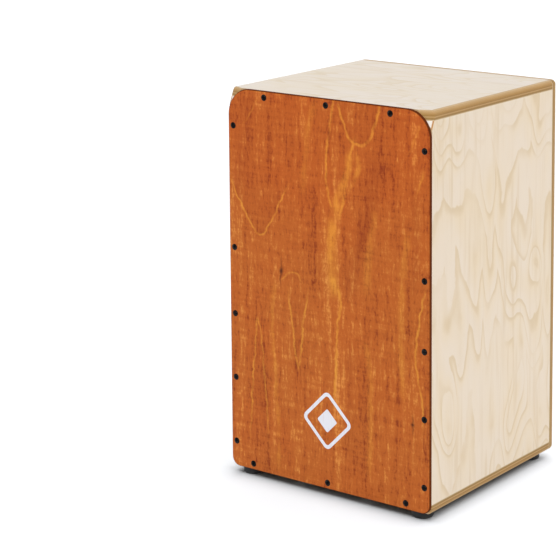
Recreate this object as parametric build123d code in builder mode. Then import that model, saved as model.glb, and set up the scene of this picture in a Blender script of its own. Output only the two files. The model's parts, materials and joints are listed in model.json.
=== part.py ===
from build123d import *
import math
import os

os.makedirs("parts", exist_ok=True)

# Cajon: a box drum. Millimetres, +Z up, floor at Z = 0, playing plate facing -Y.

# Box
box_width = 300.0
box_height = 480.0
box_depth = 282.0
ply = 12.0
plate_thickness = 3.5
edge_radius = 6.35

# Feet
foot_height = 9.0
foot_radius = 13.0
foot_edge_radius = 2.0
foot_recess_radius = 4.75
foot_recess_depth = 4.5
foot_hole_radius = 2.1
foot_inset_x = 21.5
foot_inset_front = 17.0
foot_inset_rear = 25.0

# Playing plate and its screws
plate_top_radius = 33.5
plate_bottom_radius = 12.0
plate_edge_radius = 2.0
plate_hole_radius = 1.9
sink_clearance = 0.05
screw_head_radius = 4.0
screw_shank_radius = 1.75
screw_length = 25.0
screw_dome = 1.0
screw_tip = 3.0
recess_length = 4.4
recess_width = 0.9
recess_depth = 1.1
pilot_radius = 1.8
side_screw_drops = (47.0, 199.5, 283.5, 365.0, 447.5)
side_screw_inset = 8.0
end_screw_inset = 8.0
top_screw_spread = 93.5
bottom_screw_spread = 115.5

# Levels and planes that several pieces share
box_bottom = foot_height
box_top = foot_height + box_height
base_top = box_bottom + ply
seat_underside = box_top - ply
plate_front = -(box_depth - screw_dome) / 2
box_back = plate_front + box_depth
shell_front = plate_front + plate_thickness
shell_back = box_back - ply
shell_depth = shell_back - shell_front
shell_middle = (shell_back + shell_front) / 2
inner_half_width = box_width / 2 - ply

# Soft front corners under the seat: one flat cut across each corner
facet_width = 20.0
facet_depth = 9.0
facet_drop = 22.0

# Hidden tongues of the side panels
tongue_width = 4.0
tongue_height = 4.0
tongue_length = 205.0
tongue_x = box_width / 2 - ply / 2

# Sound hole
sound_hole_radius = 60.0
sound_hole_lip = 3.0
sound_hole_z = box_bottom + 247.0

# Foot screws
foot_screw_head_radius = 4.0
foot_screw_head = 2.4
foot_screw_grip = 12.0

# Glue blocks in the long inside corners
block_leg = 18.0
block_nose = 5.0
block_front = -90.0
block_length = 200.0

# Snare strings: one V on each side of the middle
snare_x = 50.0
snare_spread = 34.0
string_radius = 0.4
string_knuckle_radius = 0.5
string_top_y = shell_front + 0.8
ball_end_radius = 1.9
ball_end_length = 3.4
ball_end_y = shell_front + 5.0

# String rail and anchor plates under the seat
rail_length = 200.0
rail_depth = 18.0
rail_height = 20.0
rail_front = shell_front + 3.0
anchor_length = 84.0
anchor_height = 16.0
anchor_z = seat_underside - rail_height / 2
sheet = 1.5
string_hole_radius = 0.7
string_pocket_radius = 2.6
string_pocket_depth = 6.0
bracket_screw_spread = 20.0

# Small countersunk bracket screws
bracket_head_radius = 2.6
bracket_shank_radius = 1.25
bracket_hole_radius = 1.35
bracket_pilot_radius = 1.3
bracket_screw_length = 11.0
bracket_recess_length = 3.0
bracket_recess_width = 0.6
bracket_recess_depth = 0.7

# Tuning block, guides, carriers and screws on the base
tuning_block_width = 160.0
tuning_block_depth = 30.0
tuning_block_height = 18.0
tuning_y = shell_front + 13.5
tuning_radius = 3.0
running_clearance = 0.05
tuning_head_radius = 5.0
tuning_head_height = 6.0
tuning_screw_reach = 50.0
tuning_head_recess = 0.5
socket_across_flats = 5.0
socket_depth = 3.0
washer_radius = 6.0
washer_thickness = 1.0
washer_hole_radius = 3.2
counterbore_radius = 6.3
carrier_width = 16.0
carrier_height = 12.0
carrier_gap = 7.5
carrier_edge = 0.8
guide_clearance = 0.1
guide_height = 28.0
guide_ear_depth = 15.0
guide_base_depth = 27.0
guide_screw_x = 5.0
guide_screw_back = 14.5
pin_radius = 2.0
pin_length = 4.6
pin_head_radius = 3.0
pin_head_thickness = 0.6
string_pin_y = shell_front + 2.3

guide_floor = base_top + tuning_block_height
carrier_bottom = guide_floor + sheet + carrier_gap
pin_z = carrier_bottom + carrier_height / 2
tuning_hole_radius = tuning_radius + running_clearance
washer_top = box_bottom + tuning_head_recess + tuning_head_height + washer_thickness


def facet_plane(side):
    """The cut across one top front corner, facing outwards."""
    lowest = Vector(side * box_width / 2, shell_front, box_top - facet_drop)
    outward = Vector(side / facet_width, -1 / facet_depth, 1 / facet_drop)
    return Plane(origin=lowest, z_dir=outward)


def side_screw_points(side):
    """Screw positions down one side of the plate, as X and Z."""
    x = side * (box_width / 2 - side_screw_inset)
    return [(x, box_top - drop) for drop in side_screw_drops]


def end_screw_points(z, spread):
    """Three screw positions along the top or bottom of the plate, as X and Z."""
    return [(-spread, z), (0.0, z), (spread, z)]


top_screw_points = end_screw_points(box_top - end_screw_inset, top_screw_spread)
bottom_screw_points = end_screw_points(box_bottom + end_screw_inset, bottom_screw_spread)
left_screw_points = side_screw_points(-1)
right_screw_points = side_screw_points(1)
plate_screw_points = top_screw_points + bottom_screw_points + left_screw_points + right_screw_points

foot_x = box_width / 2 - foot_inset_x
foot_front_y = plate_front + foot_inset_front
foot_rear_y = box_back - foot_inset_rear
foot_points = {
    "foot_front_left": (-foot_x, foot_front_y),
    "foot_front_right": (foot_x, foot_front_y),
    "foot_rear_left": (-foot_x, foot_rear_y),
    "foot_rear_right": (foot_x, foot_rear_y),
}

anchor_screw_points = [
    (side * snare_x + offset, anchor_z)
    for side in (-1, 1)
    for offset in (-bracket_screw_spread, bracket_screw_spread)
]
string_hole_points = [
    (side * snare_x + offset, anchor_z)
    for side in (-1, 1)
    for offset in (-snare_spread, snare_spread)
]
guide_screw_points = [
    (side * snare_x + offset, tuning_y + guide_screw_back)
    for side in (-1, 1)
    for offset in (-guide_screw_x, guide_screw_x)
]


def finish_piece(piece, name):
    """Name one piece and write it out."""
    piece.part.label = name
    export_step(piece.part, f"parts/{name}.step")


# Seat panel: laid over the sides, rounded over along both sides
with BuildPart() as top_panel:
    with BuildSketch(Plane.XY.offset(seat_underside)):
        with Locations((0, shell_middle)):
            Rectangle(box_width, shell_depth)
    extrude(amount=ply)
    fillet(top_panel.edges().filter_by(Axis.Y).group_by(Axis.Z)[-1], edge_radius)
    for side in (-1, 1):
        split(bisect_by=facet_plane(side), keep=Keep.BOTTOM)
    with BuildSketch(Plane.XY.offset(seat_underside)):
        with Locations((-tongue_x, shell_middle), (tongue_x, shell_middle)):
            Rectangle(tongue_width, tongue_length)
    extrude(amount=tongue_height, mode=Mode.SUBTRACT)
    with BuildSketch(Plane.XZ.offset(-shell_front)):
        with Locations(*top_screw_points):
            Circle(pilot_radius)
    extrude(amount=-screw_length, mode=Mode.SUBTRACT)
finish_piece(top_panel, "top_panel")

# Base panel: laid under the sides; drilled for the plate, the feet and the tuning screws
with BuildPart() as base_panel:
    with BuildSketch(Plane.XY.offset(box_bottom)):
        with Locations((0, shell_middle)):
            Rectangle(box_width, shell_depth)
    extrude(amount=ply)
    fillet(base_panel.edges().filter_by(Axis.Y).group_by(Axis.Z)[0], edge_radius)
    with BuildSketch(Plane.XY.offset(base_top)):
        with Locations((-tongue_x, shell_middle), (tongue_x, shell_middle)):
            Rectangle(tongue_width, tongue_length)
    extrude(amount=-tongue_height, mode=Mode.SUBTRACT)
    with BuildSketch(Plane.XZ.offset(-shell_front)):
        with Locations(*bottom_screw_points):
            Circle(pilot_radius)
    extrude(amount=-screw_length, mode=Mode.SUBTRACT)
    with BuildSketch(Plane.XY.offset(box_bottom)):
        with Locations(*foot_points.values()):
            Circle(pilot_radius)
    extrude(amount=foot_screw_grip - foot_height + foot_recess_depth, mode=Mode.SUBTRACT)
    with BuildSketch(Plane.XY.offset(box_bottom)):
        with Locations((-snare_x, tuning_y), (snare_x, tuning_y)):
            Circle(counterbore_radius)
    extrude(amount=washer_top - box_bottom, mode=Mode.SUBTRACT)
    with BuildSketch(Plane.XY.offset(box_bottom)):
        with Locations((-snare_x, tuning_y), (snare_x, tuning_y)):
            Circle(tuning_hole_radius)
    extrude(amount=ply, mode=Mode.SUBTRACT)
finish_piece(base_panel, "base_panel")


def side_panel(side, screw_points):
    """A side panel with a tongue along its top and bottom edges."""
    with BuildPart() as panel:
        with BuildSketch(Plane.XY.offset(base_top)):
            with Locations((side * tongue_x, shell_middle)):
                Rectangle(ply, shell_depth)
        extrude(amount=seat_underside - base_top)
        with BuildSketch(Plane.XY.offset(base_top - tongue_height)):
            with Locations((side * tongue_x, shell_middle)):
                Rectangle(tongue_width, tongue_length)
        extrude(amount=seat_underside - base_top + 2 * tongue_height)
        split(bisect_by=facet_plane(side), keep=Keep.BOTTOM)
        with BuildSketch(Plane.XZ.offset(-shell_front)):
            with Locations(*screw_points):
                Circle(pilot_radius)
        extrude(amount=-screw_length, mode=Mode.SUBTRACT)
    return panel


finish_piece(side_panel(-1, left_screw_points), "left_side_panel")
finish_piece(side_panel(1, right_screw_points), "right_side_panel")

# Back panel: covers the rear of the shell, rounded all round, with the sound hole
with BuildPart() as back_panel:
    with BuildSketch(Plane.XZ.offset(-shell_back)):
        with Locations((0, box_bottom + box_height / 2)):
            Rectangle(box_width, box_height)
    extrude(amount=-ply)
    corner_edges = back_panel.edges().filter_by(Axis.Y)
    rear_edges = back_panel.faces().sort_by(Axis.Y)[-1].edges()
    fillet(corner_edges + rear_edges, edge_radius)
    with BuildSketch(Plane.XZ.offset(-shell_back)):
        with Locations((0, sound_hole_z)):
            Circle(sound_hole_radius)
    extrude(amount=-ply, mode=Mode.SUBTRACT)
    hole_rim = back_panel.faces().sort_by(Axis.Y)[-1].edges().filter_by(GeomType.CIRCLE)
    fillet(hole_rim.sort_by(SortBy.RADIUS)[-1], sound_hole_lip)
finish_piece(back_panel, "back_panel")

# Playing plate: rounded corners, countersunk from the front
with BuildPart() as playing_plate:
    with BuildSketch(Plane.XZ.offset(-shell_front)) as plate_outline:
        with Locations((0, box_bottom + box_height / 2)):
            Rectangle(box_width, box_height)
        fillet(plate_outline.vertices().group_by(Axis.Y)[-1], plate_top_radius)
        fillet(plate_outline.vertices().group_by(Axis.Y)[0], plate_bottom_radius)
    extrude(amount=plate_thickness)
    fillet(playing_plate.faces().sort_by(Axis.Y)[0].edges(), plate_edge_radius)
    with Locations(Plane.XZ.offset(-plate_front)):
        with Locations(*plate_screw_points):
            CounterSinkHole(
                radius=plate_hole_radius,
                counter_sink_radius=screw_head_radius + sink_clearance,
                depth=plate_thickness,
                counter_sink_angle=90,
            )
finish_piece(playing_plate, "playing_plate")


def cross_recess(length, width):
    """Two crossed slots, drawn in the open sketch."""
    Rectangle(length, width)
    Rectangle(width, length)


def raised_screw(head_radius, crown, sink, length):
    """A cross-recess wood screw along -Z with a domed head, its rim at Z = 0."""
    dome_radius = (head_radius**2 + crown**2) / (2 * crown)
    dome_sweep = math.degrees(math.asin(head_radius / dome_radius))
    with BuildPart() as screw:
        with BuildSketch(Plane.XZ):
            with BuildLine():
                CenterArc((0, crown - dome_radius), dome_radius, 90, -dome_sweep)
                Polyline(
                    (head_radius, 0),
                    (screw_shank_radius, -sink),
                    (screw_shank_radius, screw_tip - length),
                    (0, -length),
                    (0, crown),
                )
            make_face()
        revolve(axis=Axis.Z)
        with BuildSketch(Plane.XY.offset(crown)):
            cross_recess(recess_length, recess_width)
        extrude(amount=-recess_depth, mode=Mode.SUBTRACT)
    return screw


plate_screw = raised_screw(
    screw_head_radius, screw_dome, screw_head_radius - screw_shank_radius, screw_length
)
with BuildPart() as plate_screws:
    with Locations(Plane.XZ.offset(-plate_front)):
        with Locations(*plate_screw_points):
            add(plate_screw.part)
finish_piece(plate_screws, "plate_screws")


def rubber_foot(position):
    """A round foot with a recess for its screw head."""
    with BuildPart() as foot:
        with BuildSketch():
            with Locations(position):
                Circle(foot_radius)
        extrude(amount=foot_height)
        fillet(foot.edges().group_by(Axis.Z)[0], foot_edge_radius)
        with BuildSketch():
            with Locations(position):
                Circle(foot_recess_radius)
        extrude(amount=foot_recess_depth, mode=Mode.SUBTRACT)
        with BuildSketch():
            with Locations(position):
                Circle(foot_hole_radius)
        extrude(amount=foot_height, mode=Mode.SUBTRACT)
    return foot


for foot_name, foot_position in foot_points.items():
    finish_piece(rubber_foot(foot_position), foot_name)

# Foot screws: pan heads inside the feet, points upwards into the base
foot_screw = raised_screw(foot_screw_head_radius, foot_screw_head, 0, foot_screw_grip)
with BuildPart() as foot_screws:
    with Locations(Plane.XY.offset(foot_recess_depth)):
        with Locations(*foot_points.values()):
            add(foot_screw.part, rotation=(180, 0, 0))
finish_piece(foot_screws, "foot_screws")


def glue_block(side, corner_z, rise):
    """A five-sided block along an inside corner; rise is +1 off the base, -1 off the seat."""
    wall = side * inner_half_width
    with BuildPart() as block:
        with BuildSketch(Plane.XZ.offset(-block_front)):
            with BuildLine():
                Polyline(
                    (wall, corner_z),
                    (wall - side * block_leg, corner_z),
                    (wall - side * block_leg, corner_z + rise * block_nose),
                    (wall - side * block_nose, corner_z + rise * block_leg),
                    (wall, corner_z + rise * block_leg),
                    (wall, corner_z),
                )
            make_face()
        extrude(amount=-block_length)
    return block


finish_piece(glue_block(-1, seat_underside, -1), "top_left_block")
finish_piece(glue_block(1, seat_underside, -1), "top_right_block")
finish_piece(glue_block(-1, base_top, 1), "base_left_block")
finish_piece(glue_block(1, base_top, 1), "base_right_block")

# String rail: glued under the seat, with pockets for the string ends
with BuildPart() as string_rail:
    with BuildSketch(Plane.XZ.offset(-rail_front)):
        with Locations((0, anchor_z)):
            Rectangle(rail_length, rail_height)
    extrude(amount=-rail_depth)
    chamfer(string_rail.edges().filter_by(Axis.X).group_by(Axis.Z)[0], carrier_edge)
    with BuildSketch(Plane.XZ.offset(-rail_front)):
        with Locations(*string_hole_points):
            Circle(string_pocket_radius)
    extrude(amount=-string_pocket_depth, mode=Mode.SUBTRACT)
    with BuildSketch(Plane.XZ.offset(-rail_front)):
        with Locations(*anchor_screw_points):
            Circle(bracket_pilot_radius)
    extrude(amount=-bracket_screw_length, mode=Mode.SUBTRACT)
finish_piece(string_rail, "string_rail")


def anchor_plate(side):
    """A steel strip on the rail: two string holes and two countersunk screw holes."""
    with BuildPart() as plate:
        with BuildSketch(Plane.XZ.offset(-rail_front)):
            with Locations((side * snare_x, anchor_z)):
                RectangleRounded(anchor_length, anchor_height, 2 * sheet)
                with Locations((-snare_spread, 0), (snare_spread, 0)):
                    Circle(string_hole_radius, mode=Mode.SUBTRACT)
        extrude(amount=sheet)
        with Locations(Plane.XZ.offset(sheet - rail_front)):
            with Locations((side * snare_x, anchor_z)):
                with Locations((-bracket_screw_spread, 0), (bracket_screw_spread, 0)):
                    CounterSinkHole(
                        radius=bracket_hole_radius,
                        counter_sink_radius=bracket_head_radius + sink_clearance,
                        depth=sheet,
                        counter_sink_angle=90,
                    )
    return plate


finish_piece(anchor_plate(-1), "anchor_plate_left")
finish_piece(anchor_plate(1), "anchor_plate_right")


def snare_string(side):
    """A steel string: round the carrier pin, up both arms of the V, back into the rail."""
    centre_x = side * snare_x
    lean = Vector(0, string_top_y - string_pin_y, anchor_z - pin_z)
    string_plane = Plane(
        origin=(centre_x, string_pin_y, pin_z),
        x_dir=(1, 0, 0),
        z_dir=Vector(1, 0, 0).cross(lean),
    )
    rise = lean.length
    loop_radius = pin_radius + string_radius + running_clearance
    reach = math.hypot(snare_spread, rise)
    touch = math.atan2(rise, snare_spread) - math.acos(loop_radius / reach)
    touch_x = loop_radius * math.cos(touch)
    touch_y = loop_radius * math.sin(touch)
    with BuildPart() as string:
        with BuildLine(string_plane) as path:
            Line((-snare_spread, rise), (-touch_x, touch_y))
            ThreePointArc((-touch_x, touch_y), (0, -loop_radius), (touch_x, touch_y))
            Line((touch_x, touch_y), (snare_spread, rise))
        with BuildSketch(Plane(origin=path.line @ 0, z_dir=path.line % 0)):
            Circle(string_radius)
        sweep(path=path.wires()[0])
        for end_x in (centre_x - snare_spread, centre_x + snare_spread):
            with Locations((end_x, string_top_y, anchor_z)):
                Sphere(string_knuckle_radius)
            with BuildSketch(Plane.XZ.offset(-string_top_y)):
                with Locations((end_x, anchor_z)):
                    Circle(string_radius)
            extrude(amount=string_top_y - ball_end_y)
            with BuildSketch(Plane.YZ.offset(end_x)):
                with Locations((ball_end_y, anchor_z)):
                    Circle(ball_end_radius)
            extrude(amount=ball_end_length / 2, both=True)
    return string


finish_piece(snare_string(-1), "string_left")
finish_piece(snare_string(1), "string_right")

# Tuning block: glued on the base just behind the plate
with BuildPart() as tuning_block:
    with BuildSketch(Plane.XY.offset(base_top)):
        with Locations((0, rail_front + tuning_block_depth / 2)):
            Rectangle(tuning_block_width, tuning_block_depth)
        with Locations((-snare_x, tuning_y), (snare_x, tuning_y)):
            Circle(tuning_hole_radius, mode=Mode.SUBTRACT)
    extrude(amount=tuning_block_height)
    outer_top = tuning_block.edges().group_by(Axis.Z)[-1].filter_by(GeomType.LINE)
    chamfer(outer_top, carrier_edge)
    with BuildSketch(Plane.XY.offset(guide_floor)):
        with Locations(*guide_screw_points):
            Circle(bracket_pilot_radius)
    extrude(amount=-bracket_screw_length, mode=Mode.SUBTRACT)
finish_piece(tuning_block, "tuning_block")


def carrier_guide(side):
    """A steel U with two ears that keep the carrier from turning."""
    centre_x = side * snare_x
    ear_x = carrier_width / 2 + guide_clearance + sheet / 2
    ear_front = tuning_y - guide_ear_depth / 2
    with BuildPart() as guide:
        with BuildSketch(Plane.XY.offset(guide_floor)):
            with Locations((centre_x, ear_front + guide_base_depth / 2)):
                Rectangle(2 * ear_x + sheet, guide_base_depth)
            with Locations((centre_x, tuning_y)):
                Circle(tuning_hole_radius, mode=Mode.SUBTRACT)
        extrude(amount=sheet)
        with BuildSketch(Plane.XY.offset(guide_floor)):
            with Locations((centre_x - ear_x, tuning_y), (centre_x + ear_x, tuning_y)):
                Rectangle(sheet, guide_ear_depth)
        extrude(amount=guide_height)
        ear_corners = guide.edges().filter_by(Axis.X).group_by(Axis.Z)[-1]
        fillet(ear_corners, 2 * sheet)
        with Locations(Plane.XY.offset(guide_floor + sheet)):
            with Locations((centre_x, tuning_y + guide_screw_back)):
                with Locations((-guide_screw_x, 0), (guide_screw_x, 0)):
                    CounterSinkHole(
                        radius=bracket_hole_radius,
                        counter_sink_radius=bracket_head_radius + sink_clearance,
                        depth=sheet,
                        counter_sink_angle=90,
                    )
    return guide


finish_piece(carrier_guide(-1), "guide_left")
finish_piece(carrier_guide(1), "guide_right")

# Bracket screw at the origin: flat head outwards along +Z, its face at Z = 0
with BuildPart() as bracket_screw:
    with BuildSketch(Plane.XZ):
        with BuildLine():
            Polyline(
                (0, 0),
                (bracket_head_radius, 0),
                (bracket_shank_radius, bracket_shank_radius - bracket_head_radius),
                (bracket_shank_radius, bracket_head_radius - bracket_screw_length),
                (0, -bracket_screw_length),
                (0, 0),
            )
        make_face()
    revolve(axis=Axis.Z)
    with BuildSketch():
        cross_recess(bracket_recess_length, bracket_recess_width)
    extrude(amount=-bracket_recess_depth, mode=Mode.SUBTRACT)

with BuildPart() as bracket_screws:
    with Locations(Plane.XZ.offset(sheet - rail_front)):
        with Locations(*anchor_screw_points):
            add(bracket_screw.part)
    with Locations(Plane.XY.offset(guide_floor + sheet)):
        with Locations(*guide_screw_points):
            add(bracket_screw.part)
finish_piece(bracket_screws, "bracket_screws")


def string_carrier(side):
    """A brass block on the tuning screw, with a headed pin that holds the string."""
    centre_x = side * snare_x
    with BuildPart() as carrier:
        with BuildSketch(Plane.XY.offset(carrier_bottom)):
            with Locations((centre_x, tuning_y)):
                Rectangle(carrier_width, carrier_width)
        extrude(amount=carrier_height)
        chamfer(carrier.edges().filter_by(Axis.Z), carrier_edge)
        with BuildSketch(Plane.XY.offset(carrier_bottom)):
            with Locations((centre_x, tuning_y)):
                Circle(tuning_hole_radius)
        extrude(amount=carrier_height, mode=Mode.SUBTRACT)
        carrier_front = tuning_y - carrier_width / 2
        with BuildSketch(Plane.XZ.offset(-carrier_front)):
            with Locations((centre_x, pin_z)):
                Circle(pin_radius)
        extrude(amount=pin_length)
        with BuildSketch(Plane.XZ.offset(pin_length - pin_head_thickness - carrier_front)):
            with Locations((centre_x, pin_z)):
                Circle(pin_head_radius)
        extrude(amount=pin_head_thickness)
    return carrier


finish_piece(string_carrier(-1), "carrier_left")
finish_piece(string_carrier(1), "carrier_right")


def tuning_screw(side):
    """A socket-head screw, head in the base and shank up through the carrier."""
    head_bottom = box_bottom + tuning_head_recess
    head_top = head_bottom + tuning_head_height
    with BuildPart() as screw:
        with BuildSketch(Plane.XY.offset(head_bottom)):
            with Locations((side * snare_x, tuning_y)):
                Circle(tuning_head_radius)
        extrude(amount=tuning_head_height)
        with BuildSketch(Plane.XY.offset(head_top)):
            with Locations((side * snare_x, tuning_y)):
                Circle(tuning_radius)
        extrude(amount=tuning_screw_reach)
        chamfer(screw.edges().group_by(Axis.Z)[-1], carrier_edge)
        fillet(screw.edges().group_by(Axis.Z)[0], tuning_head_recess)
        with BuildSketch(Plane.XY.offset(head_bottom)):
            with Locations((side * snare_x, tuning_y)):
                RegularPolygon(radius=socket_across_flats / 2, side_count=6, major_radius=False)
        extrude(amount=socket_depth, mode=Mode.SUBTRACT)
    return screw


finish_piece(tuning_screw(-1), "tuning_screw_left")
finish_piece(tuning_screw(1), "tuning_screw_right")

# Washers: one above each tuning screw head
with BuildPart() as tuning_washers:
    with BuildSketch(Plane.XY.offset(washer_top - washer_thickness)):
        with Locations((-snare_x, tuning_y), (snare_x, tuning_y)):
            Circle(washer_radius)
            Circle(washer_hole_radius, mode=Mode.SUBTRACT)
    extrude(amount=washer_thickness)
finish_piece(tuning_washers, "tuning_washers")
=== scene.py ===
import json
import math

import bmesh
import bpy
from mathutils import Euler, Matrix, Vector


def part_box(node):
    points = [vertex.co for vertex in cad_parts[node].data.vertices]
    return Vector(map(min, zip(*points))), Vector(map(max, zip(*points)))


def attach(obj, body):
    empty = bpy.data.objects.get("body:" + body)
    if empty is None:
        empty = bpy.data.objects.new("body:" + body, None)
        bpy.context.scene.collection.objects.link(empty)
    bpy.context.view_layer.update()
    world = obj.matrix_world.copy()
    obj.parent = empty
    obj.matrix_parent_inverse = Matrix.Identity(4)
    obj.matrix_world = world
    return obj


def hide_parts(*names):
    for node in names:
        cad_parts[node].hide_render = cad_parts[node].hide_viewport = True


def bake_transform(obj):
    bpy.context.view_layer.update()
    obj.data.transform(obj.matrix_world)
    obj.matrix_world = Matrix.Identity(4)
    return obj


# A cajon in metres: +Z up, floor at Z = 0, playing plate facing -Y.
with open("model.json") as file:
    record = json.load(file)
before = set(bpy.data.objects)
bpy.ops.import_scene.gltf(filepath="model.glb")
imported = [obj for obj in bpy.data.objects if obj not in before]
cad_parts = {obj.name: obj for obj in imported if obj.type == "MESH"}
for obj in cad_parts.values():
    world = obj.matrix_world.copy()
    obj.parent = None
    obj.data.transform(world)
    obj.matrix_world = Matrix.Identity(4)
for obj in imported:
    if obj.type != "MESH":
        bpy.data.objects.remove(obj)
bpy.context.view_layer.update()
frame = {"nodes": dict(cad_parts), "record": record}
nodes = frame["nodes"]
bpy.context.scene.view_settings.view_transform = "Standard"

MM = 0.001

# Plywood and its facets, in millimetres: the cut across a side panel's top front corner
PLY = 12.0
FACE_VENEER = 0.18
CORE_PLY = 1.5
FACET_WIDTH, FACET_DEPTH, FACET_DROP = 20.0, 9.0, 22.0
FACET_LINE_WIDTH = 1.2

# Printed marks, in millimetres: reach to a tip, corner radius and height above the box's bottom
FRONT_MARK = {"outer": (38, 7), "inner": (32, 4.2), "core": (15, 2), "height": 86}
BACK_MARK = {"outer": (26, 5), "inner": (22, 3), "core": (12, 2), "height": 416}
PRINT_THICKNESS = 0.12

# Tuning screws and strings, in metres
SCREW_RADIUS = 0.005
SCREW_X = 0.05
THREAD_START = 0.021
WINDING = 0.00045

# Light: strength, the way it travels and its spread in degrees
SURROUND_LEVEL = 0.62
BANK = (1.2, (-0.33, 0.35, -1.0), 70)
BACK_FILL = (0.80, (0.35, -0.9, -0.12), 60)
FLOOR_BANK = (14.6, (-0.12, -0.25, -1.0), 96)
FLOOR_REACH = 30.0

# Camera: lens in millimetres, place in metres, angles in degrees and the shift of the picture
LENS = 127.87
CAMERA_PLACE = (1.4036, -1.9806, 0.8884)
CAMERA_TILT, CAMERA_TURN, CAMERA_ROLL = 82.17, 35.20, -0.04
CAMERA_SHIFT = {"shift_x": -0.2115, "shift_y": -0.4458}


def srgb(red, green, blue):
    """A colour from 8-bit screen values, as Blender's linear one."""
    def linear(value):
        value /= 255
        return value / 12.92 if value <= 0.04045 else ((value + 0.055) / 1.055) ** 2.4
    return (linear(red), linear(green), linear(blue), 1.0)


class Value:
    """A number inside a material, so that sums can be written out plainly."""

    def __init__(self, sheet, socket):
        self.sheet, self.socket = sheet, socket

    def _sum(self, operation, *others):
        return self.sheet.math(operation, self, *others)

    def __add__(self, other):
        return self._sum("ADD", other)

    def __radd__(self, other):
        return self._sum("ADD", other)

    def __sub__(self, other):
        return self._sum("SUBTRACT", other)

    def __rsub__(self, other):
        return self.sheet.math("SUBTRACT", other, self)

    def __mul__(self, other):
        return self._sum("MULTIPLY", other)

    def __rmul__(self, other):
        return self._sum("MULTIPLY", other)

    def __truediv__(self, other):
        return self._sum("DIVIDE", other)

    def __pow__(self, other):
        return self._sum("POWER", other)

    def __abs__(self):
        return self._sum("ABSOLUTE")

    def __gt__(self, other):
        return self._sum("GREATER_THAN", other)

    def __lt__(self, other):
        return self._sum("LESS_THAN", other)

    def larger(self, other):
        return self._sum("MAXIMUM", other)

    def fraction(self):
        return self._sum("FRACT")

    def root(self):
        return self._sum("SQRT")


class Sheet:
    """One procedural material under construction."""

    def __init__(self, name):
        self.material = bpy.data.materials.new(name)
        self.material.use_nodes = True
        self.tree = self.material.node_tree
        self.tree.nodes.clear()
        output = self.node("ShaderNodeOutputMaterial")
        self.shader = self.node("ShaderNodeBsdfPrincipled")
        self.tree.links.new(self.shader.outputs[0], output.inputs["Surface"])
        self.point = self.node("ShaderNodeTexCoord").outputs["Object"]
        split = self.node("ShaderNodeSeparateXYZ")
        self.feed(split.inputs[0], self.point)
        self.x, self.y, self.z = (Value(self, socket) for socket in split.outputs)

    def node(self, kind, **settings):
        made = self.tree.nodes.new(kind)
        for key, value in settings.items():
            setattr(made, key, value)
        return made

    def feed(self, socket, value):
        if isinstance(value, Value):
            value = value.socket
        if isinstance(value, bpy.types.NodeSocket):
            self.tree.links.new(value, socket)
        else:
            socket.default_value = value

    def math(self, operation, *values):
        made = self.node("ShaderNodeMath", operation=operation)
        for socket, value in zip(made.inputs, values):
            self.feed(socket, value)
        return Value(self, made.outputs[0])

    def vector(self, x, y, z):
        made = self.node("ShaderNodeCombineXYZ")
        for socket, value in zip(made.inputs, (x, y, z)):
            self.feed(socket, value)
        return made.outputs[0]

    def noise(self, vector, detail=3.0, roughness=0.55, distortion=0.0):
        made = self.node("ShaderNodeTexNoise")
        self.feed(made.inputs["Vector"], vector)
        made.inputs["Scale"].default_value = 1.0
        made.inputs["Detail"].default_value = detail
        made.inputs["Roughness"].default_value = roughness
        made.inputs["Distortion"].default_value = distortion
        return Value(self, made.outputs[0])

    def step(self, value, low, high, start=0.0, end=1.0):
        """A smooth change from start to end as the value goes from low to high."""
        made = self.node("ShaderNodeMapRange", interpolation_type="SMOOTHSTEP")
        for socket, fed in zip(made.inputs, (value, low, high, start, end)):
            self.feed(socket, fed)
        return Value(self, made.outputs[0])

    def ramp(self, value, stops):
        """The colour at a value from 0 to 1, between stops of place and colour."""
        made = self.node("ShaderNodeValToRGB")
        self.feed(made.inputs[0], value)
        elements = made.color_ramp.elements
        while len(elements) < len(stops):
            elements.new(0.5)
        for element, (place, colour) in zip(elements, stops):
            element.position, element.color = place, colour
        return made.outputs[0]

    def mix(self, share, first, second, blend="MIX"):
        made = self.node("ShaderNodeMix", data_type="RGBA", blend_type=blend)
        self.feed(made.inputs[0], share)
        self.feed(made.inputs[6], first)
        self.feed(made.inputs[7], second)
        return made.outputs[2]

    def shade(self, colour, strength):
        """The colour made lighter or darker by a number near 1."""
        return self.mix(1.0, colour, self.vector(strength, strength, strength), "MULTIPLY")

    def finish(self, colour, roughness, height=None, depth=0.0, metal=0.0, sheen=0.0, gloss=0.5):
        """Connects the surface; height and depth, in metres, give the fine relief."""
        self.feed(self.shader.inputs["Base Color"], colour)
        self.feed(self.shader.inputs["Roughness"], roughness)
        self.feed(self.shader.inputs["Metallic"], metal)
        self.feed(self.shader.inputs["Specular IOR Level"], gloss)
        self.shader.inputs["Sheen Weight"].default_value = sheen
        if height is not None:
            bump = self.node("ShaderNodeBump")
            bump.inputs["Strength"].default_value = 0.8
            bump.inputs["Distance"].default_value = depth
            self.feed(bump.inputs["Height"], height)
            self.tree.links.new(bump.outputs[0], self.shader.inputs["Normal"])
        return self.material


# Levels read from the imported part
back_low, back_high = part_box("back_panel")
side_low, side_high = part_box("right_side_panel")
plate_low, plate_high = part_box("playing_plate")
top_low, top_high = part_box("top_panel")
base_low, base_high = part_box("base_panel")
INNER_X = side_high.x - PLY * MM
INNER_FRONT = plate_high.y
INNER_BACK = back_low.y
INNER_BOTTOM = base_high.z
INNER_TOP = top_low.z

# Woods: each birch is a pale patch, the cream round it and the tan of its lines
BIRCH_SIDE = (srgb(234, 217, 196), srgb(232, 211, 180), srgb(213, 186, 145))
BIRCH_BACK = (srgb(229, 204, 171), srgb(227, 196, 153), srgb(208, 172, 121))
# The top's tones are a lighter, whiter copy of the sides': painted sheen of the top's grazing
# reflection
BIRCH_TOP_SHEEN = (srgb(243, 232, 220), srgb(240, 226, 204), srgb(226, 206, 176))
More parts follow.
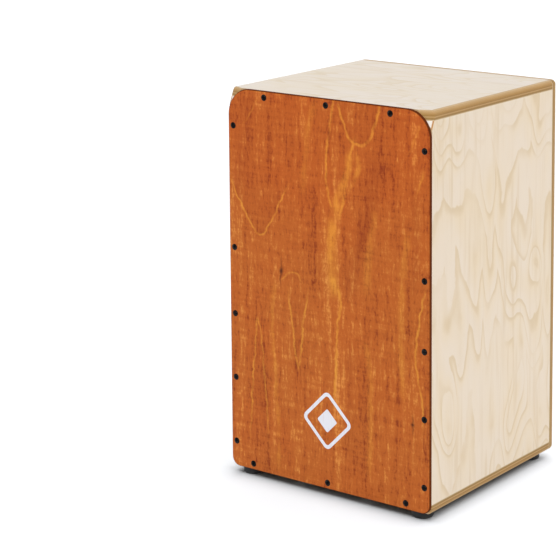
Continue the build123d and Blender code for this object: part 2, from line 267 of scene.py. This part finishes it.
# Plies seen on an edge: share of the thickness below the good face, and colour
PLIES = ((0.00, srgb(214, 186, 146)), (0.14, srgb(202, 164, 114)), (0.36, srgb(184, 142, 82)),
         (0.56, srgb(160, 118, 56)), (0.64, srgb(196, 158, 104)), (0.74, srgb(170, 130, 72)),
         (0.84, srgb(148, 112, 56)), (0.92, srgb(190, 158, 110)), (1.00, srgb(216, 192, 152)))
PLY_GLUE = srgb(120, 80, 38)
# Painted highlight: a side panel's corner facet is coloured near white in place of its plies
FACET_HIGHLIGHT = srgb(248, 238, 226)
FACET_LINE = srgb(196, 140, 78)
# Painted shade: the box's inner faces, which look dark through the sound hole
INTERIOR_SHADE = srgb(14, 12, 12)


def interior_shade_mask(sheet, slack=0.12 * MM):
    """1 on faces within the box, which are coloured near black: painted shade of the box's dark
    interior.
    """
    wide = abs(sheet.x) < INNER_X + slack
    deep = (sheet.y > INNER_FRONT - slack) * (sheet.y < INNER_BACK + slack)
    tall = (sheet.z > INNER_BOTTOM - slack) * (sheet.z < INNER_TOP + slack)
    return wide * deep * tall


def birch_figure(sheet, along, over, seed):
    """Rotary-cut figure, as lines and the soft tone below them, each from 0 to 1.

    Rows of hanging lobes that run, in places, into long upright lines."""
    lobe = abs(sheet.noise(sheet.vector(over * 18, along * 5, seed), 1.0, 0.3) - 0.5)
    wander = sheet.noise(sheet.vector(over * 75, along * 40, seed + 3.1), 2.0) - 0.5
    drift = sheet.noise(sheet.vector(over * 6.5, along * 3.4, seed + 4.0), 1.0)
    steep = sheet.noise(sheet.vector(over * 8, along * 5, seed + 9.0), 1.0)
    reach = sheet.step(steep, 0.42, 0.60, 4.0, 14.0)
    saw = (along * 12 + lobe * reach + drift * 3.5 + wander * 0.3).fraction()
    line = sheet.step(saw, 0.62, 0.92) * sheet.step(saw, 0.94, 1.0, 1.0, 0.0)
    tone = sheet.step(saw, 0.05, 0.88) * sheet.step(saw, 0.93, 1.0, 1.0, 0.0)
    strength = sheet.noise(sheet.vector(over * 16, along * 11, seed + 8.7), 2.0)
    strength = sheet.step(strength, 0.36, 0.58, 0.25, 1.0)
    return line * strength, tone * strength


def birch_panel(name, across, outer, along, tones, seed, facets=False, figure=1.0):
    """Lacquered birch plywood: across is the axis of its thickness, outer its good face."""
    sheet = Sheet(name)
    axes = {"x": sheet.x, "y": sheet.y, "z": sheet.z}
    over = axes[({"x", "y", "z"} - {across, along}).pop()]
    rise = axes[along]
    depth = abs(outer - (abs(axes[across]) if across == "x" else axes[across])) / MM

    pale, cream, tan = tones
    line, tone = birch_figure(sheet, rise, over, seed)
    cloud = sheet.noise(sheet.vector(over * 17, rise * 7, seed + 1.3), 3.0)
    streak = sheet.noise(sheet.vector(over * 130, rise * 6, seed + 2.3), 3.0, 0.6)
    bundle = sheet.noise(sheet.vector(over * 11, rise * 6, seed + 2.9), 1.0)
    fibre = sheet.noise(sheet.vector(over * 500, rise * 40, seed + 5.0), 2.0, 0.7)
    fleck = sheet.noise(sheet.vector(over * 700, rise * 150, seed + 6.0), 1.0)
    streak = sheet.step(streak, 0.48, 0.68) * sheet.step(bundle, 0.38, 0.62, 0.25, 1.0)
    face = sheet.mix(tone * 0.6 + sheet.step(cloud, 0.36, 0.66) * 0.4, pale, cream)
    face = sheet.mix((line * 0.55).larger(streak * 0.40) * figure, face, tan)
    face = sheet.shade(face, 0.97 + cloud * 0.02 + fibre * 0.04)
    face = sheet.mix(sheet.step(fleck, 0.68, 0.80) * 0.30, face, tan)

    ripple = sheet.noise(sheet.vector(sheet.x * 60, sheet.y * 60, sheet.z * 60), 2.0) - 0.5
    core = (depth - FACE_VENEER) / CORE_PLY + ripple * 0.14
    glue = sheet.step(abs(core.fraction() - 0.5), 0.40, 0.50)
    pores = sheet.noise(sheet.vector(sheet.x * 700, sheet.y * 700, sheet.z * 700), 2.0, 0.7)
    drift = sheet.noise(sheet.vector(sheet.x * 45, sheet.y * 45, sheet.z * 45), 2.0)
    edge = sheet.ramp(depth / PLY + ripple * 0.04, PLIES)
    edge = sheet.mix(glue * 0.35, edge, PLY_GLUE)
    edge = sheet.shade(edge, 0.84 + pores * 0.20 + drift * 0.16)

    veneer = sheet.step(depth, 0.05, FACE_VENEER, 1.0, 0.0)
    veneer = veneer.larger(sheet.step(depth, PLY - FACE_VENEER, PLY - 0.05))
    if facets:
        slope = (abs(sheet.x) - side_high.x) / FACET_WIDTH - (sheet.y - side_low.y) / FACET_DEPTH
        slope = abs(slope + (sheet.z - top_high.z + FACET_DROP * MM) / FACET_DROP) / MM
        on_facet = sheet.step(slope, 0.002, 0.006, 1.0, 0.0)
        # On a facet the plies are hidden under the painted highlight
        veneer = veneer.larger(on_facet)
        face = sheet.mix(on_facet, face, FACET_HIGHLIGHT)
        outer_edge = sheet.step(depth, FACET_LINE_WIDTH, FACET_LINE_WIDTH + 1.0, 1.0, 0.0)
        face = sheet.mix(on_facet * outer_edge, face, FACET_LINE)
    colour = sheet.mix(veneer, edge, face)
    # Painted shade on the faces within the box
    interior_shade = interior_shade_mask(sheet)
    colour = sheet.mix(interior_shade, colour, INTERIOR_SHADE)
    rough = 0.42 + fibre * 0.12 + interior_shade * 0.35 + (1.0 - veneer) * 0.12
    relief = fibre * 0.6 + line * 0.25 + pores * (1.0 - veneer) * 1.4 + glue * (veneer - 1.0)
    return sheet.finish(colour, rough, relief, 0.00012, gloss=0.4)


def branch_line(sheet, x, z, tip, spread, reach, sharpness, opens, width):
    """One U or V shaped line of the figure and the wood it encloses, each from 0 to 1.

    tip is its lowest (opens 1) or highest (opens -1) point; sharpness 1 is a V and 2 a U."""
    rise = (z - tip[1]) * opens
    offset = abs(x - tip[0]) / spread
    curve = offset ** sharpness * reach - rise
    steep = offset ** (sharpness - 1) * (reach * sharpness / spread)
    distance = curve / (steep * steep + 1.0).root()
    ends = sheet.step(rise, reach * 0.6, reach, 1.0, 0.0) * sheet.step(rise, -10, 0)
    line = sheet.step(abs(distance), width * 0.2, width, 1.0, 0.0)
    within = sheet.step(distance, -12, 0, 0.35, 1.0) * (distance < 0.0)
    return line * ends, within * ends


def vein(sheet, x, z, path, width):
    """A long soft line that passes through the (z, x) points of its path."""
    span, half = 500.0, 150.0  # the plate's height, rounded up, and half of its width
    bend = sheet.node("ShaderNodeFloatCurve")
    curve = bend.mapping.curves[0]
    points = [(pz / span, (px + half) / (2 * half)) for pz, px in path]
    curve.points[0].location, curve.points[-1].location = points[0], points[-1]
    for place in points[1:-1]:
        curve.points.new(*place)
    bend.mapping.extend = "HORIZONTAL"
    bend.mapping.update()
    sheet.feed(bend.inputs["Value"], z / span)
    target = Value(sheet, bend.outputs[0]) * (2 * half) - half
    low, high = path[0][0], path[-1][0]
    ends = sheet.step(z, low, low + 30) * sheet.step(z, high - 20, high, 1.0, 0.0)
    return sheet.step(abs(x - target), 0.0, width, 1.0, 0.0) * ends


def pin_knot(sheet, x, z, place, size):
    """A small dark knot with a ray above and below it, from 0 to 1."""
    across, up = x - place[0], z - place[1]
    away = (across * across + up * up * 0.5).root()
    spot = sheet.step(away, 0.0, size, 0.9, 0.0)
    ray = sheet.step(abs(across), 0.0, size * 0.5, 0.5, 0.0)
    return spot.larger(ray * sheet.step(abs(up), size, size * 5, 1.0, 0.0))


def stained_plate():
    """The playing plate: orange-brown stain over a figured veneer with golden lines.

    The figure is laid out in millimetres from the plate's middle and its lower edge."""
    sheet = Sheet("stained_veneer")
    sway = sheet.noise(sheet.vector(sheet.x * 14, 0.4, sheet.z * 9), 2.0) - 0.5
    shiver = sheet.noise(sheet.vector(sheet.x * 60, 2.4, sheet.z * 90), 3.0) - 0.5
    swell = sheet.noise(sheet.vector(sheet.x * 24, 7.7, sheet.z * 18), 2.0) - 0.5
    x = sheet.x / MM + sway * 10 + shiver * 8
    z = (sheet.z - plate_low.z) / MM + swell * 22

    band = sheet.noise(sheet.vector(x * 0.026, 1.0, z * 0.0024), 3.0, 0.6)
    stripe = sheet.noise(sheet.vector(x * 0.095, 3.0, z * 0.0055), 4.0, 0.62)
    fibre = sheet.noise(sheet.vector(sheet.x * 260, 5.0, sheet.z * 50), 3.0, 0.75)
    fleck = sheet.noise(sheet.vector(sheet.x * 330, 9.0, sheet.z * 170), 1.0)
    grit = sheet.noise(sheet.vector(sheet.x * 420, 21.0, sheet.z * 420), 1.0)
    shimmer = sheet.noise(sheet.vector(sheet.x * 16, 11.0, sheet.z * 150), 4.0, 0.65)
    cloud = sheet.noise(sheet.vector(sheet.x * 12, 13.0, sheet.z * 10), 2.0)

    tone = band * 0.7 + stripe * 0.95 + fibre * 0.85 + fleck * 0.35 + grit * 0.25 + shimmer * 0.6
    tone = tone - 1.345
    colour = sheet.mix(sheet.step(tone, 0.12, 0.52), srgb(136, 51, 13), srgb(188, 98, 35))
    colour = sheet.mix(sheet.step(tone, 0.52, 0.96), colour, srgb(228, 150, 70))

    # Each: tip (x, z), half width, height, sharpness, which way it opens, line width, strength
    branches = (
        ((48, 431), 34, 60, 2.4, 1, 2.8, 0.80),
        ((-103, 303), 50, 75, 1.5, 1, 2.0, 0.65),
        ((-44, 146), 17, 110, 1.2, 1, 2.2, 0.65),
        ((-106, 193), 16, 170, 1.5, -1, 2.2, 0.65),
        ((-52, 262), 17, 14, 2.0, -1, 2.0, 0.50),
    )
    # Each: (z, x) points from the bottom up, line width, strength
    veins = (
        (((330, 12), (360, 5), (390, 0), (436, 4), (490, 12)), 3.0, 0.85),
        (((325, 12), (345, 20), (375, 28), (400, 32), (445, 44)), 4.0, 0.85),
        (((325, 12), (360, 18), (380, 27), (405, 34), (430, 36)), 9.0, 0.75),
        (((360, 20), (385, 42), (410, 48), (430, 42)), 6.0, 0.60),
        (((232, 15), (262, 10), (300, 8), (325, 9), (345, 12)), 11.0, 0.85),
        (((85, 8), (120, 10), (160, 12), (200, 15), (230, 20), (265, 10)), 3.2, 0.75),
        (((92, 142), (130, 140), (156, 133), (190, 130), (226, 133), (251, 140), (276, 149)),
         2.4, 0.70),
        (((351, -36), (391, -32), (431, -28), (481, -14)), 8.0, 0.30),
        (((431, -134), (451, -116), (476, -100)), 2.6, 0.60),
        (((371, 121), (389, 133), (416, 142)), 3.0, 0.55),
        (((416, 110), (440, 124), (471, 136)), 2.6, 0.35),
        (((241, 60), (321, 66), (361, 72)), 9.0, 0.35),
        (((120, 112), (200, 108), (280, 112), (340, 118)), 8.0, 0.30),
        (((20, 60), (110, 64), (200, 58)), 7.0, 0.30),
        (((1, -75), (111, -78), (191, -84), (251, -80)), 5.0, 0.35),
    )
    shadows = (
        (((225, 34), (262, 38), (300, 44), (340, 60), (376, 68), (430, 66)), 17.0, 0.45),
        (((40, 30), (120, 34), (200, 36)), 10.0, 0.30),
        (((330, -140), (400, -130), (480, -120)), 22.0, 0.30),
        (((250, 128), (330, 130), (400, 122)), 10.0, 0.30),
    )
    gold = within = dark = None
    for tip, spread, reach, sharpness, opens, width, strength in branches:
        line, area = branch_line(sheet, x, z, tip, spread, reach, sharpness, opens, width)
        line = line * strength
        gold = line if gold is None else gold.larger(line)
        within = area if within is None else within.larger(area)
    for path, width, strength in veins:
        gold = gold.larger(vein(sheet, x, z, path, width) * strength)
    for path, width, strength in shadows:
        shadow = vein(sheet, x, z, path, width) * strength
        dark = shadow if dark is None else dark.larger(shadow)
    waver = sheet.noise(sheet.vector(sheet.x * 60, 15.0, sheet.z * 45), 2.0)
    gold = gold * sheet.step(waver, 0.32, 0.56, 0.35, 1.0) * sheet.step(tone, 0.2, 0.7, 0.55, 1.1)
    colour = sheet.mix(within * 0.20, colour, srgb(150, 64, 18))
    colour = sheet.mix(dark * sheet.step(stripe, 0.35, 0.60, 1.0, 0.4), colour, srgb(146, 60, 18))
    colour = sheet.mix(gold, colour, srgb(228, 152, 56))
    knots = pin_knot(sheet, x, z, (-70, 261), 5.0).larger(pin_knot(sheet, x, z, (126, 104), 4.0))
    colour = sheet.mix(knots, colour, srgb(70, 26, 10))

    # Redder towards the top
    red = sheet.step(z, 250, 430, 0.0, 0.72) + sheet.step(cloud, 0.35, 0.65, 0.0, 0.35)
    colour = sheet.mix(red, colour, sheet.mix(1.0, colour, srgb(258, 238, 226), "MULTIPLY"))
    rim = sheet.step(sheet.y, plate_low.y, plate_low.y + 0.5 * MM)
    colour = sheet.mix(rim * 0.95, colour, srgb(92, 42, 18))
    # Painted shade on the plate's inner face
    colour = sheet.mix(interior_shade_mask(sheet), colour, INTERIOR_SHADE)
    relief = fibre * 0.7 + gold * 0.2 + fleck * 0.3
    gloss = 0.12 - rim * 0.10
    return sheet.finish(colour, 0.40 + fibre * 0.14, relief, 0.00012, gloss=gloss)


def plain_wood(name, light, dark, ring):
    """Unfinished timber with its grain along X: softwood blocks and hardwood rails."""
    sheet = Sheet(name)
    warp = sheet.noise(sheet.vector(sheet.x * 9, sheet.y * 30, sheet.z * 30), 2.0)
    across = sheet.y * 0.8 + sheet.z * 0.6 + warp * 0.006
    saw = (across * ring).fraction()
    late = sheet.step(saw, 0.35, 0.92) * sheet.step(saw, 0.93, 1.0, 1.0, 0.0)
    fibre = sheet.noise(sheet.vector(sheet.x * 40, sheet.y * 900, sheet.z * 900), 2.0, 0.7)
    colour = sheet.mix(late * 0.6, light, dark)
    colour = sheet.mix(sheet.step(fibre, 0.55, 0.75) * 0.4, colour, dark)
    return sheet.finish(colour, 0.66 + fibre * 0.15, fibre + late * 0.4, 0.00015)


def metal(name, colour, worn_and_glint, rough, brushing, metallic=1.0, gloss=0.5):
    """Steel or brass with fine brushing, lighter where handling has rubbed it; on the black steel
    screw heads this lighter rim is also a painted highlight.
    """
    sheet = Sheet(name)
    brush = sheet.noise(sheet.vector(*(axis * k for axis, k in zip(
        (sheet.x, sheet.y, sheet.z), brushing))), 3.0, 0.7)
    patch = sheet.noise(sheet.vector(sheet.x * 260, sheet.y * 260, sheet.z * 260), 3.0, 0.6)
    pointy = Value(sheet, sheet.node("ShaderNodeNewGeometry").outputs["Pointiness"])
    rub_and_glint = sheet.step(pointy, 0.52, 0.62) * sheet.step(patch, 0.40, 0.62)
    tone = sheet.mix(rub_and_glint * 0.7, colour, worn_and_glint)
    tone = sheet.shade(tone, 0.86 + brush * 0.22)
    return sheet.finish(tone, rough + patch * 0.18, brush, 0.00003, metal=metallic, gloss=gloss)


def rubber():
    """Moulded black rubber with a fine stipple and dust near the floor."""
    sheet = Sheet("black_rubber")
    stipple = sheet.noise(sheet.vector(sheet.x * 1400, sheet.y * 1400, sheet.z * 1400), 2.0, 0.6)
    bloom = sheet.noise(sheet.vector(sheet.x * 90, sheet.y * 90, sheet.z * 90), 3.0)
    dust = sheet.step(sheet.z, 0.0, 0.004, 1.0, 0.0) * sheet.step(bloom, 0.42, 0.65)
    colour = sheet.mix(bloom, srgb(20, 20, 22), srgb(34, 33, 34))
    colour = sheet.mix(dust * 0.35, colour, srgb(92, 88, 84))
    return sheet.finish(colour, 0.62 + stipple * 0.2, stipple, 0.0002, sheen=0.08)


def threaded_steel():
    """Plain steel: a socket head with a fine thread up the shank."""
    sheet = Sheet("screw_steel")
    screw_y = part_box("tuning_screw_left")[0].y + SCREW_RADIUS
    turn = sheet.math("ARCTAN2", sheet.y - screw_y, abs(sheet.x) - SCREW_X) / math.tau
    groove = abs((sheet.z / MM + turn).fraction() - 0.5) * 2.0
    on_thread = sheet.step(sheet.z, THREAD_START, THREAD_START + MM)
    grime = sheet.noise(sheet.vector(sheet.x * 300, sheet.y * 300, sheet.z * 300), 3.0)
    # The thread's grooves are coloured darker: painted shade in the grooves
    colour = sheet.mix(groove * on_thread * 0.6, srgb(168, 168, 172), srgb(70, 70, 74))
    colour = sheet.shade(colour, 0.8 + grime * 0.3)
    return sheet.finish(colour, 0.28 + grime * 0.2, groove * on_thread, 0.0004, metal=1.0)


def wound_wire():
    """Steel string: tight windings seen as fine rings."""
    sheet = Sheet("string_steel")
    ring = abs((sheet.z / WINDING).fraction() - 0.5) * 2.0
    stain = sheet.noise(sheet.vector(sheet.x * 200, sheet.y * 200, sheet.z * 60), 3.0)
    # The gaps between windings are coloured darker: painted shade in the grooves
    colour = sheet.mix(ring * 0.5, srgb(206, 206, 208), srgb(112, 112, 118))
    colour = sheet.shade(colour, 0.82 + stain * 0.25)
    return sheet.finish(colour, 0.22 + stain * 0.2, ring, 0.0001, metal=1.0)


def printed(name, ink, under, fade):
    """Screen-printed paint, thinner along the grain of the wood below."""
    sheet = Sheet(name)
    grain = sheet.noise(sheet.vector(sheet.x * 420, 5.0, sheet.z * 22), 3.0, 0.75)
    speck = sheet.noise(sheet.vector(sheet.x * 900, sheet.y * 900, sheet.z * 900), 2.0)
    thin = sheet.step(grain, 0.30, 0.44, 1.0, 0.0) * fade
    colour = sheet.mix(thin.larger(sheet.step(speck, 0.72, 0.80) * fade), ink, under)
    return sheet.finish(colour, 0.46 + grain * 0.15, grain, 0.00008)


panel_finish = {
    # The top panel's lighter tones are painted sheen
    "top_panel": birch_panel("birch_top_sheen", "z", top_high.z, "x", BIRCH_TOP_SHEEN, 2.0, figure=0.8),
    "base_panel": birch_panel("birch_base", "z", base_low.z, "x", BIRCH_SIDE, 4.0),
    "left_side_panel": birch_panel("birch_left", "x", side_high.x, "z", BIRCH_SIDE, 7.0,
                                   facets=True),
    "right_side_panel": birch_panel("birch_right", "x", side_high.x, "z", BIRCH_SIDE, 11.0,
                                    facets=True),
    "back_panel": birch_panel("birch_back", "y", back_high.y, "z", BIRCH_BACK, 16.0),
}
slot_finish = {
    "stained_veneer": stained_plate(),
    "softwood": plain_wood("softwood", srgb(206, 168, 112), srgb(160, 110, 60), 260),
    "hardwood": plain_wood("hardwood", srgb(150, 102, 66), srgb(98, 60, 36), 420),
    # Black screw heads: their lighter rubbed rim is partly handling wear and partly a painted
    # highlight
    "black_steel": metal("black_steel", srgb(5, 4, 5), srgb(60, 56, 54), 0.30,
                         (900, 900, 900), metallic=0.0, gloss=0.08),
    "bracket_steel": metal("bracket_steel", srgb(176, 178, 182), srgb(218, 218, 220), 0.30,
                           (60, 60, 1500)),
    "screw_steel": threaded_steel(),
    "string_steel": wound_wire(),
    "carrier_brass": metal("carrier_brass", srgb(196, 152, 76), srgb(232, 202, 136), 0.26,
                           (1400, 60, 60)),
    "black_rubber": rubber(),
}
for part in frame["record"]["subparts"]:
    name = part["node"]
    finish = panel_finish.get(name) or slot_finish[part["material_slot"]]
    nodes[name].data.materials.clear()
    nodes[name].data.materials.append(finish)


def add_mesh(name, bm, material):
    """Turns a finished bmesh into an object of the scene."""
    bmesh.ops.recalc_face_normals(bm, faces=bm.faces)
    mesh = bpy.data.meshes.new(name)
    bm.to_mesh(mesh)
    bm.free()
    mesh.materials.append(material)
    made = bpy.data.objects.new(name, mesh)
    bpy.context.scene.collection.objects.link(made)
    return made


# Printed marks: a rounded diamond round a small solid one
def rounded_diamond(reach, radius, segments=8):
    """Points round a diamond whose corners are arcs, reach from the middle to a tip."""
    points = []
    centre = reach - radius * math.sqrt(2)
    for corner in range(4):
        heading = corner * math.pi / 2
        hub = Vector((math.cos(heading), math.sin(heading))) * centre
        for step in range(segments + 1):
            angle = heading - math.pi / 4 + step / segments * math.pi / 2
            points.append(hub + Vector((math.cos(angle), math.sin(angle))) * radius)
    return points


def raised_mark(name, centre, face_y, outward, outline, core, material):
    """A thin raised print: an outline given by two loops, and a filled core."""
    thickness = PRINT_THICKNESS * MM
    bm = bmesh.new()

    def place(point, lift):
        return bm.verts.new((centre[0] + point.x, face_y + outward * lift, centre[1] + point.y))

    outer, inner = outline
    count = len(outer)
    rows = [[place(p, lift) for p in loop]
            for loop, lift in ((outer, 0), (outer, thickness), (inner, thickness), (inner, 0))]
    for row, following in zip(rows, rows[1:] + rows[:1]):
        for k in range(count):
            n = (k + 1) % count
            bm.faces.new((row[k], row[n], following[n], following[k]))
    low = [place(p, 0) for p in core]
    high = [place(p, thickness) for p in core]
    for k in range(len(core)):
        n = (k + 1) % len(core)
        bm.faces.new((low[k], low[n], high[n], high[k]))
    bm.faces.new(high)
    bm.faces.new(list(reversed(low)))
    return add_mesh(name, bm, material)


def diamond_mark(name, sizes, face_y, outward, material):
    """A diamond mark in the middle of a face, at its height above the box's bottom."""
    outer, inner, core = (rounded_diamond(reach * MM, radius * MM) for reach, radius in
                          (sizes["outer"], sizes["inner"], sizes["core"]))
    centre = (0.0, plate_low.z + sizes["height"] * MM)
    return raised_mark(name, centre, face_y, outward, (outer, inner), core, material)


white_print = printed("white_print", srgb(232, 232, 240), srgb(206, 150, 110), 0.35)
dark_print = printed("dark_print", srgb(44, 32, 26), srgb(120, 92, 66), 0.45)
front_mark = diamond_mark("front_mark", FRONT_MARK, plate_low.y, -1, white_print)
back_mark = diamond_mark("back_mark", BACK_MARK, back_high.y, 1, dark_print)
for mark, slot_name in ((front_mark, "stained_veneer"), (back_mark, "birch_ply")):
    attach(mark, "cabinet")

# Snare strings: a copy of each imported string, with the imported one hidden
for side in ("left", "right"):
    wire = nodes[f"string_{side}"]
    string = bpy.data.objects.new(f"snare_{side}", wire.data.copy())
    bpy.context.scene.collection.objects.link(string)
    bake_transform(string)
    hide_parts(f"string_{side}")

# Floor
floor_bm = bmesh.new()
bmesh.ops.create_grid(floor_bm, x_segments=2, y_segments=2, size=FLOOR_REACH)
floor_sheet = Sheet("pale_floor")
tint = floor_sheet.noise(floor_sheet.vector(floor_sheet.x * 3, floor_sheet.y * 3, 0.0), 2.0)
floor_paint = floor_sheet.finish(
    floor_sheet.mix(tint, srgb(122, 123, 125), srgb(126, 127, 128)), 0.9, gloss=0.1)
floor = add_mesh("floor", floor_bm, floor_paint)

# Light: an even white surround, soft light from above and from behind, and one light for the
# floor alone
world = bpy.data.worlds.new("surround")
world.use_nodes = True
sky = world.node_tree.nodes["Background"]
sky.inputs["Color"].default_value = (1.0, 1.0, 1.0, 1.0)
ray = world.node_tree.nodes.new("ShaderNodeLightPath")
level = world.node_tree.nodes.new("ShaderNodeMapRange")
level.inputs["To Min"].default_value = SURROUND_LEVEL
level.inputs["To Max"].default_value = 1.0
world.node_tree.links.new(ray.outputs["Is Camera Ray"], level.inputs["Value"])
world.node_tree.links.new(level.outputs[0], sky.inputs["Strength"])
bpy.context.scene.world = world


def soft_sun(name, strength, towards, spread):
    """Light as from a wide overhead bank: the same strength everywhere, soft shadows."""
    data = bpy.data.lights.new(name, "SUN")
    data.angle, data.energy = math.radians(spread), strength
    lamp = bpy.data.objects.new(name, data)
    lamp.rotation_euler = Vector(towards).to_track_quat("-Z", "Y").to_euler()
    bpy.context.scene.collection.objects.link(lamp)
    return lamp


def light_group(name, members):
    """A collection of the objects that one light reaches, or that block it."""
    group = bpy.data.collections.new(name)
    for member in members:
        group.objects.link(member)
    return group


soft_sun("bank", *BANK)
back_light = soft_sun("back_fill", *BACK_FILL)
back_light.light_linking.receiver_collection = light_group(
    "rear_faces", [nodes["back_panel"], nodes["left_side_panel"], back_mark])
floor_light = soft_sun("floor_bank", *FLOOR_BANK)
floor_light.light_linking.receiver_collection = light_group("floor_only", [floor])
floor_light.light_linking.blocker_collection = light_group(
    "underside", [nodes[name] for name in nodes if name.startswith(("base_panel", "foot_"))])

# Camera: a long lens with a shifted picture, so that upright edges stay nearly parallel
camera_data = bpy.data.cameras.new("camera")
camera_data.sensor_width = 36.0
camera_data.lens = LENS
camera_data.clip_end = 100.0
camera = bpy.data.objects.new("camera", camera_data)
camera.location = CAMERA_PLACE
turned = (Euler((math.radians(CAMERA_TILT), 0.0, math.radians(CAMERA_TURN))).to_matrix()
          @ Euler((0.0, 0.0, math.radians(CAMERA_ROLL))).to_matrix())
camera.rotation_euler = turned.to_euler()
bpy.context.scene.collection.objects.link(camera)
bpy.context.scene.camera = camera


def shift_while_still(path, amount):
    """The picture shift for this camera's own angle; another angle turns it by
    quaternion, whose mode number is 0, and the shift is then 0 too."""
    curve = camera_data.driver_add(path)
    for modifier in list(curve.modifiers):
        curve.modifiers.remove(modifier)
    curve.driver.type = "SUM"
    mode = curve.driver.variables.new()
    mode.targets[0].id = camera
    mode.targets[0].data_path = "rotation_mode"
    for place, value in ((0.0, 0.0), (1.0, amount)):
        curve.keyframe_points.insert(place, value)


for path, amount in CAMERA_SHIFT.items():
    shift_while_still(path, amount)
